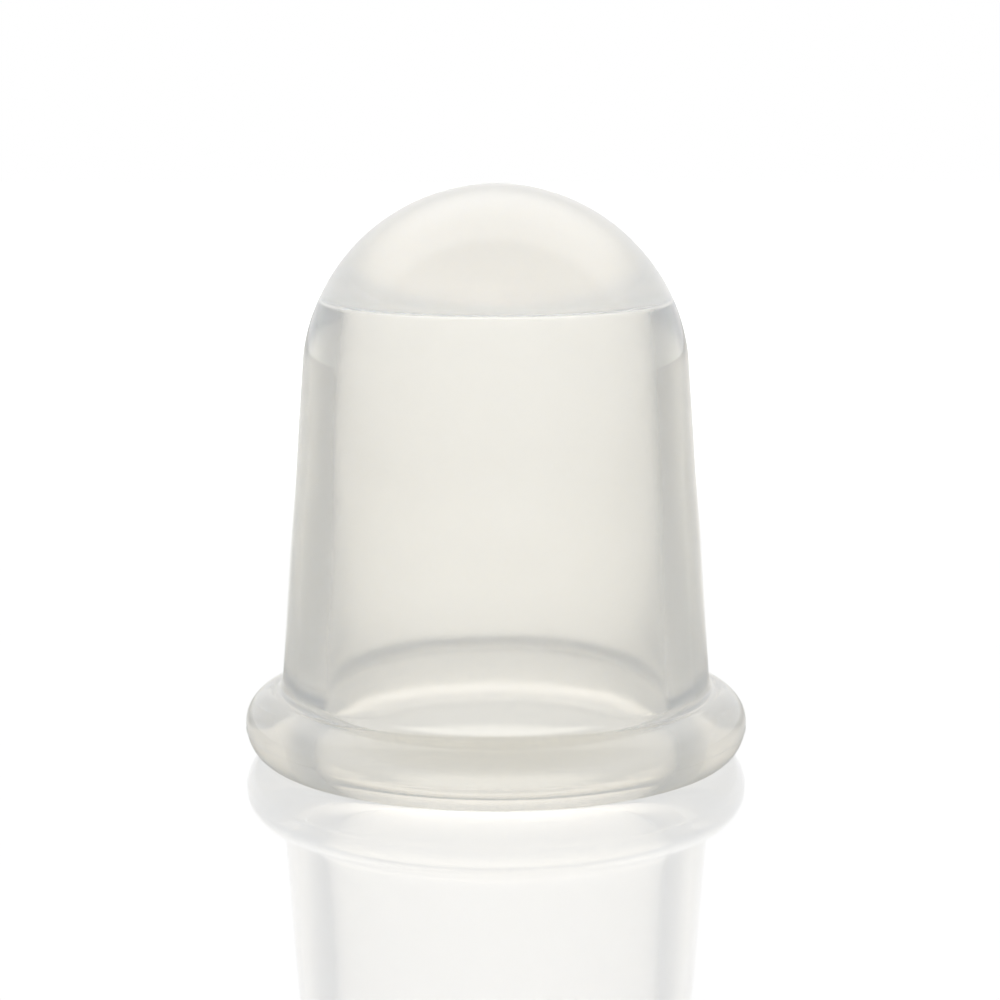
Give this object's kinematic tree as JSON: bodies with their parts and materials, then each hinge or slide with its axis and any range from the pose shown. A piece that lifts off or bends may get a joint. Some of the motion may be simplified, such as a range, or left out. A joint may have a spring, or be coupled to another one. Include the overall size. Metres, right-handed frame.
{
  "type": "silicone cupping cup",
  "caption": "Bell-shaped translucent silicone massage cup: domed crown, tapered hollow wall and rolled sealing lip. The side walls squeeze in and spring back.",
  "frame": {"origin": "centre of the lip's flat underside, on the cup's axis", "axes": "+Z along the cup's axis to the crown, +X through the right grip wall, -Y through the front wall"},
  "size_m": [0.055, 0.055, 0.0621],
  "materials": {
    "silicone": "glossy translucent"
  },
  "bodies": {
    "cup": {"lip_bead": "silicone", "front_wall": "silicone", "rear_wall": "silicone", "dome": "silicone"},
    "left_grip": {"left_grip_wall": "silicone"},
    "right_grip": {"right_grip_wall": "silicone"}
  },
  "joints": [
    {"name": "squeeze_left", "type": "slide", "parent": "cup", "child": "left_grip", "axis": [1, 0, 0], "range_m": [0, 0.009], "stiffness_N_per_m": 1500},
    {"name": "squeeze_right", "type": "slide", "parent": "cup", "child": "right_grip", "axis": [-1, 0, 0], "range_m": [0, 0.009], "stiffness_N_per_m": 1500}
  ],
  "couplings": [
    {"joint": "squeeze_right", "follows": "squeeze_left", "ratio": 1}
  ]
}
